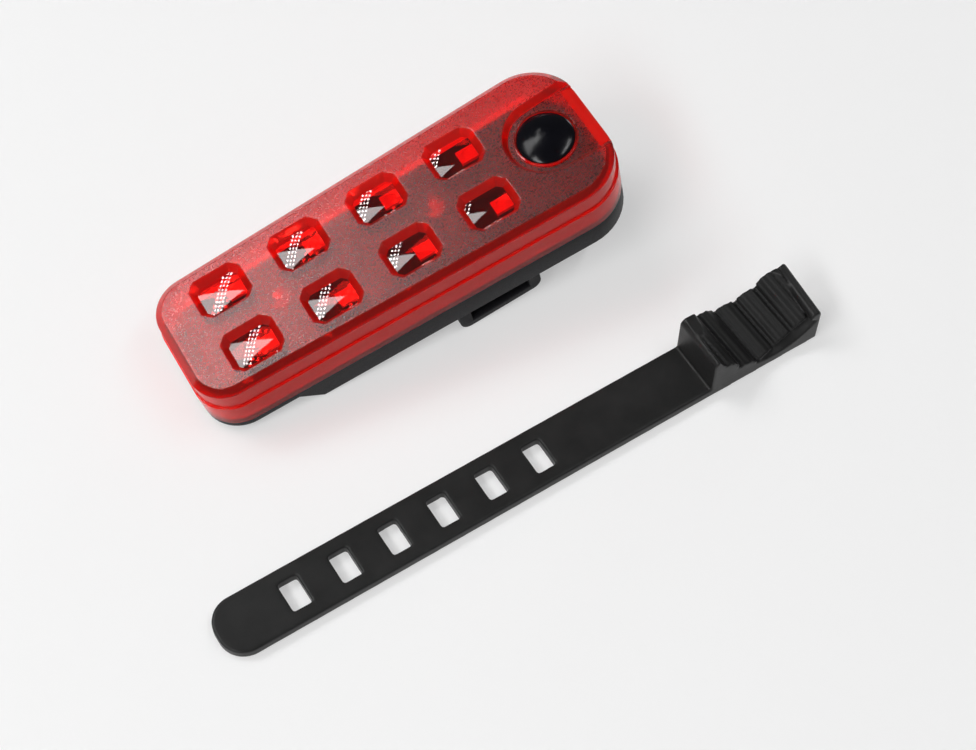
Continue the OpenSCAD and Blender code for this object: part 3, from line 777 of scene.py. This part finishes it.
def make_strap():
    """Rubber strap in one moulding: a flat band with eased edges and holes, grown into the barred saddle."""
    place = Matrix.Translation((STRAP_X * MM, STRAP_Y * MM, TABLE_Z))
    place = place @ Matrix.Rotation(math.radians(STRAP_TURN), 4, "Z")
    place = place @ Matrix.Scale(MM, 4)
    bm = bmesh.new()
    side = [(2 * STRAP_EDGE, 0), (0, 0), (0, STRAP_THICKNESS), (2 * STRAP_EDGE, STRAP_THICKNESS)]
    skin(bm, [at(band_outline(inset), z) for inset, z in rounded(side, STRAP_EDGE, closed=False)], place)
    strap = as_piece("strap", bm)

    bm = bmesh.new()
    rim_z = STRAP_THICKNESS + LIP_CLEARANCE
    lip = rounded([(-LIP_FLARE, rim_z), (0, rim_z), (0, -CLEAR)], LIP_RADIUS, closed=False)[1:]
    for number in range(HOLE_COUNT):
        rings = [at(hole_outline(lip[0][0]), STRAP_THICKNESS + CLEAR)]
        rings += [at(hole_outline(inset), z) for inset, z in lip]
        skin(bm, rings, place @ Matrix.Translation((HOLE_START + number * HOLE_PITCH, 0, 0)))
    carve(strap, "DIFFERENCE", as_piece("holes", bm))

    bm = bmesh.new()
    turn = Matrix.Rotation(math.radians(SADDLE_TURN), 4, "Z")
    turn = turn @ Matrix.Rotation(math.radians(SADDLE_SLOPE), 4, "X")
    hollow = place @ Matrix.Translation((SADDLE_MIDDLE, -STRAP_HALF, SADDLE_FLOOR)) @ turn
    hollow = hollow @ Matrix.Translation((0, BAR_MARGIN, SADDLE_RADIUS))
    crest = BAR_HEIGHT - SADDLE_RADIUS
    root = -BAR_ROOT - SADDLE_RADIUS
    facet = rounded([(-BAR_HALF, root), (BAR_HALF, root), (BAR_HALF, crest), (-BAR_HALF, crest)], BAR_EDGE)
    for number in range(BAR_COUNT):
        lean = BAR_ANGLE * (number - (BAR_COUNT - 1) / 2)
        rings = [[(x, y, z) for x, z in facet] for y in (0, BAR_LENGTH)]
        skin(bm, rings, hollow @ Matrix.Rotation(math.radians(-lean), 4, "Y"))
    bars = as_piece("bars", bm)
    bm = bmesh.new()
    near = [(SADDLE_X, -STRAP_HALF), (SADDLE_END, -STRAP_HALF)]
    block = near + [(SADDLE_END, STRAP_HALF), (SADDLE_X, STRAP_HALF)]
    skin(bm, [at(block, 0), at(block, SADDLE_HEIGHT)], place)
    carve(bars, "INTERSECT", as_piece("block", bm))

    bm = bmesh.new()
    bm.from_mesh(strap.data)
    bm.from_mesh(nodes["strap_saddle"].data)
    bm.from_mesh(bars.data)
    bpy.data.objects.remove(bars)
    bmesh.ops.translate(bm, verts=bm.verts, vec=(0, 0, STRAP_LIFT * MM))
    bm.to_mesh(strap.data)
    bm.free()
    moulded = strap.modifiers.new("moulded", "REMESH")
    moulded.mode = "VOXEL"
    moulded.voxel_size = STRAP_VOXEL * MM
    moulded.use_smooth_shade = True
    eased = strap.modifiers.new("eased", "SMOOTH")
    eased.factor = STRAP_EASING
    eased.iterations = STRAP_EASING_ROUNDS
    strap.data.materials.clear()
    strap.data.materials.append(moulded_silicone_rubber())
    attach(strap, "strap")
    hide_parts("strap_band", "strap_saddle")


make_lens()
make_strap()

black_abs = moulded_black_abs()
dress(["back_shell"], black_abs, BACK_EDGE)
dress(["strap_loop", "strap_hook", "strap_guides"], black_abs, LOOP_EDGE)
dress(["button"], polished_black_abs(), BUTTON_EDGE)
dress(["circuit_board"], green_solder_mask())

# Moulded white nylon: pale satin lamp bodies that show through the panes
lamps = [f"led_{number}" for number in range(1, 2 * WINDOW_COLUMNS + 1)]
dress(lamps, inner_finish("moulded_white_nylon", "#f4ecdc", "#e6dcc6", 0.8, 0.3, 0.42))

# Cast epoxy resin: dull near-black blocks
resin = inner_finish("black_epoxy_resin", "#17171a", "#222226", 0.5, 0.5, 0.65)
dress(["control_chip", "resistors"], resin)

# Zinc-plated steel: a cool grey metal with a soft shine
steel = inner_finish("zinc_plated_steel", "#b9bbbe", "#a3a6aa", 1.5, 0.26, 0.4, 1.0)
dress(["board_screws", "switch_body"], steel)

# Moulded black nylon: a satin stem
dress(["switch_stem"], inner_finish("moulded_black_nylon", "#1b1b1d", "#262629", 0.6, 0.4, 0.5))

# Nickel-plated spring steel: warm bright metal with sharp glints
nickel = inner_finish("nickel_plated_spring_steel", "#cac7be", "#b4b1a8", 2.0, 0.18, 0.32, 1.0)
dress(["bridge_contact", "terminal_plus", "terminal_minus"], nickel)
dress(["battery_spring_1", "battery_spring_2"], nickel)

# Gold-plated copper: yellow pads with a clean shine
dress(["contact_pads"], inner_finish("gold_plated_copper", "#dab35c", "#c69a46", 1.0, 0.24, 0.34, 1.0))

# Heat-shrunk film: a tight blue sleeve with a smooth shine and no print
film = inner_finish("shrunk_blue_film", "#3f7294", "#356280", 8.0, 0.24, 0.34)
dress(["battery_1", "battery_2"], film)

# Cut nitrile rubber: a dull dark ring
dress(["seal_ring"], inner_finish("cut_nitrile_rubber", "#232323", "#2e2e2e", 1.0, 0.6, 0.75))


# Table, lamps and camera

# Way in which the picture's upper side is mirrored by the flat front of the light: the lamps stand along it
PICTURE_UP = Vector((0.561, 0.702, -0.437))

# Table: radius in metres, how far it lies under the strap in millimetres, and its own white
TABLE_RADIUS = 2.5
TABLE_STEPS = 96
TABLE_DROP = 0.05
TABLE_WHITE = 0.4

# Lamps: way from the light, width and height in metres, and radiance
LAMP_DISTANCE = 1.2
CENTRE = (0.5, 0.5)
UPPER_RIGHT = (1, 1)
SOFTBOX = ((0.0, 0.44, 0.90), (0.95, 0.85))
SOFTBOX_RADIANCE = 6.8
STRIP = ((-0.137, 0.573, 0.829), (0.086, 0.6))
STRIP_RADIANCE = 22.0
STRIP_LEAN = -8
PLAIN_LAMPS = (
    ("left_box", (-0.68, -0.24, 0.69), (0.22, 0.7), 13.0),
    ("tube", (0.42, -0.22, 0.88), (0.035, 0.8), 28.0),
    ("low_card", (0.9, 0.43, 0.085), (0.6, 0.2), 5.0),
)

# Slanting edge of the softbox, and the dots of the strip, in shares of the lamp
SOFTBOX_SLANT = 0.889
SOFTBOX_START = 0.05
STRIP_DOTS = (3.0, 15.0, 0.0)
DOT_CENTRE = (0.5, 0.5, 0.0)
DOT_RADIUS = 0.28

# Dim room: its light at the horizon and above, and the height at which it has changed
ROOM_LOW = 0.5
ROOM_HIGH = 0.14
ROOM_BAND = 0.06

# Camera: place, sensor and focal length in millimetres, angles in degrees, nearest view in metres
CAMERA_PLACE = (-102.11, -186.9, 317.54)
CAMERA_TILT = 30
CAMERA_TURN = -30.03
SENSOR_WIDTH = 36
FOCAL_LENGTH = 74.65
NEAREST_VIEW = 0.01


def make_table():
    """White table board that keeps the soft shadows of the light and the strap."""
    bm = bmesh.new()
    bmesh.ops.create_circle(bm, cap_ends=True, segments=TABLE_STEPS, radius=TABLE_RADIUS)
    table = as_piece("table", bm)
    table.location.z = TABLE_Z - TABLE_DROP * MM
    material, tree, _ = blank_material("white_table_board")
    path = add(tree, "ShaderNodeLightPath")
    camera = path["Is Camera Ray"]
    mirror = path["Is Glossy Ray"]
    through = path["Is Transmission Ray"]
    seen = add(tree, "ShaderNodeMath", {0: camera, 1: mirror}, operation="MAXIMUM")
    seen = add(tree, "ShaderNodeMath", {0: seen["Value"], 1: through}, operation="MAXIMUM")
    white = add(tree, "ShaderNodeMath", {0: seen["Value"], 1: TABLE_WHITE}, operation="MULTIPLY")
    glow = add(tree, "ShaderNodeEmission", {"Strength": white["Value"]})
    paper = add(tree, "ShaderNodeBsdfDiffuse", {"Color": linear("#c4c4c4")})
    both = add(tree, "ShaderNodeAddShader", {0: paper["BSDF"], 1: glow["Emission"]})
    add(tree, "ShaderNodeOutputMaterial", {"Surface": both["Shader"]})
    table.data.materials.append(material)


def make_lamp(name, corner, size, anchor, radiance, lean=0.0):
    """Flat lamp with its anchor, a share of its width and height, in a given direction from the light."""
    lamp = bpy.data.lights.new(name, "AREA")
    lamp.shape = "RECTANGLE"
    lamp.size, lamp.size_y = size
    lamp.energy = radiance * math.pi * size[0] * size[1]
    lamp.use_nodes = True
    back = Vector(corner).normalized()
    right = PICTURE_UP.cross(back).normalized()
    turn = Matrix((right, back.cross(right), back)).transposed().to_4x4()
    turn = turn @ Matrix.Rotation(math.radians(lean), 4, "Z")
    shift = Vector(((0.5 - anchor[0]) * size[0], (0.5 - anchor[1]) * size[1], 0))
    holder = bpy.data.objects.new(name, lamp)
    holder.matrix_world = Matrix.Translation(back * LAMP_DISTANCE) @ turn @ Matrix.Translation(shift)
    bpy.context.scene.collection.objects.link(holder)
    tree = lamp.node_tree
    tree.nodes.clear()
    return tree, add(tree, "ShaderNodeNewGeometry")["Parametric"]


def make_studio():
    """Slant-edged softbox, strip of small lamps, box on the left, thin tube and low card, in a dim room."""
    tree, spot = make_lamp("softbox", *SOFTBOX, UPPER_RIGHT, SOFTBOX_RADIANCE)
    spot = add(tree, "ShaderNodeSeparateXYZ", {0: spot})
    slant = {0: spot["Y"], 1: SOFTBOX_SLANT, 2: SOFTBOX_START}
    edge = add(tree, "ShaderNodeMath", slant, operation="MULTIPLY_ADD")
    lit = add(tree, "ShaderNodeMath", {0: spot["X"], 1: edge["Value"]}, operation="LESS_THAN")
    glow = add(tree, "ShaderNodeEmission", {"Strength": lit["Value"]})
    add(tree, "ShaderNodeOutputLight", {"Surface": glow["Emission"]})

    tree, spot = make_lamp("lamp_strip", *STRIP, CENTRE, STRIP_RADIANCE, lean=STRIP_LEAN)
    spot = add(tree, "ShaderNodeVectorMath", {0: spot, 1: STRIP_DOTS}, operation="MULTIPLY")
    spot = add(tree, "ShaderNodeVectorMath", {0: spot["Vector"]}, operation="FRACTION")
    spot = add(tree, "ShaderNodeVectorMath", {0: spot["Vector"], 1: DOT_CENTRE}, operation="DISTANCE")
    lit = add(tree, "ShaderNodeMath", {0: spot["Value"], 1: DOT_RADIUS}, operation="LESS_THAN")
    glow = add(tree, "ShaderNodeEmission", {"Strength": lit["Value"]})
    add(tree, "ShaderNodeOutputLight", {"Surface": glow["Emission"]})

    for name, way, size, radiance in PLAIN_LAMPS:
        tree, _ = make_lamp(name, way, size, CENTRE, radiance)
        glow = add(tree, "ShaderNodeEmission", {"Strength": 1.0})
        add(tree, "ShaderNodeOutputLight", {"Surface": glow["Emission"]})

    world = bpy.data.worlds.new("dim_room")
    bpy.context.scene.world = world
    world.use_nodes = True
    tree = world.node_tree
    tree.nodes.clear()
    way = add(tree, "ShaderNodeTexCoord")["Generated"]
    height = add(tree, "ShaderNodeSeparateXYZ", {0: way})["Z"]
    room = add(
        tree,
        "ShaderNodeMapRange",
        {
            "Value": height,
            "From Min": 0.0,
            "From Max": ROOM_BAND,
            "To Min": ROOM_LOW,
            "To Max": ROOM_HIGH,
        },
        interpolation_type="SMOOTHSTEP",
    )
    sky = add(tree, "ShaderNodeBackground", {"Strength": room["Result"]})
    add(tree, "ShaderNodeOutputWorld", {"Surface": sky["Background"]})


def make_camera():
    """Camera where the photograph was taken: 60 degrees above the table and 30 degrees round to the left."""
    lens = bpy.data.cameras.new("photo_camera")
    lens.sensor_width = SENSOR_WIDTH
    lens.lens = FOCAL_LENGTH
    lens.clip_start = NEAREST_VIEW
    camera = bpy.data.objects.new("photo_camera", lens)
    camera.location = Vector(CAMERA_PLACE) * MM
    camera.rotation_euler = (math.radians(CAMERA_TILT), 0, math.radians(CAMERA_TURN))
    bpy.context.scene.collection.objects.link(camera)
    bpy.context.scene.camera = camera


make_table()
make_studio()
make_camera()
bpy.context.scene.view_settings.view_transform = "Standard"
